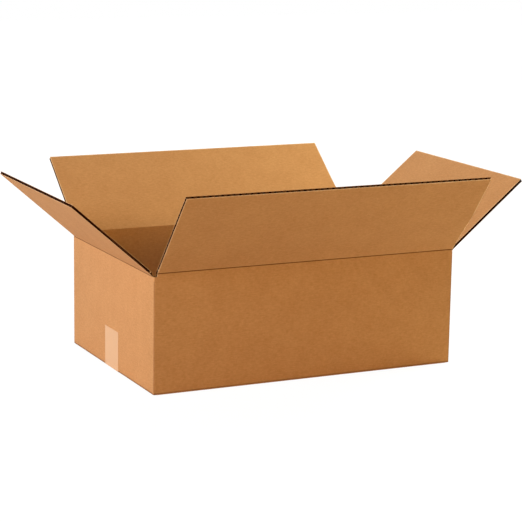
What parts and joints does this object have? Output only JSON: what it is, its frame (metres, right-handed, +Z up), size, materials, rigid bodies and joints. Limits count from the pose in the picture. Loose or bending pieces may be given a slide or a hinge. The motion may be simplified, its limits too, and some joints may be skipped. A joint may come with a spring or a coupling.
{
  "type": "open slotted cardboard box",
  "caption": "Open slotted shipping carton of brown corrugated board, its bottom closed with tape, with hinged top flaps leaning outwards.",
  "frame": {"origin": "middle of the underside of the closing tape, where the carton rests on its floor", "axes": "+X along the carton's length, +Y from the front long wall to the back one, +Z up"},
  "size_m": [0.6975, 0.5302, 0.2887],
  "materials": {
    "kraft_board": "matt brown kraft liner",
    "kraft_flap": "matt brown kraft liners and medium",
    "packing_tape": "pale, slightly shiny film"
  },
  "bodies": {
    "carton": {"carton_body": "kraft_board", "bottom_tape": "packing_tape"},
    "front_flap": {"front_flap": "kraft_flap"},
    "back_flap": {"back_flap": "kraft_flap"},
    "left_flap": {"left_flap": "kraft_flap"},
    "right_flap": {"right_flap": "kraft_flap"}
  },
  "joints": [
    {"name": "front_flap_fold", "type": "hinge", "parent": "carton", "child": "front_flap", "pos_m": [0, -0.1564, 0.1689], "axis": [1, 0, 0], "range_deg": [-129.7, 130.3]},
    {"name": "back_flap_fold", "type": "hinge", "parent": "carton", "child": "back_flap", "pos_m": [0, 0.1564, 0.1689], "axis": [-1, 0, 0], "range_deg": [-142, 118]},
    {"name": "left_flap_fold", "type": "hinge", "parent": "carton", "child": "left_flap", "pos_m": [-0.2326, 0, 0.1646], "axis": [0, -1, 0], "range_deg": [-138.7, 121.3]},
    {"name": "right_flap_fold", "type": "hinge", "parent": "carton", "child": "right_flap", "pos_m": [0.2326, 0, 0.1646], "axis": [0, 1, 0], "range_deg": [-140.6, 119.4]}
  ]
}
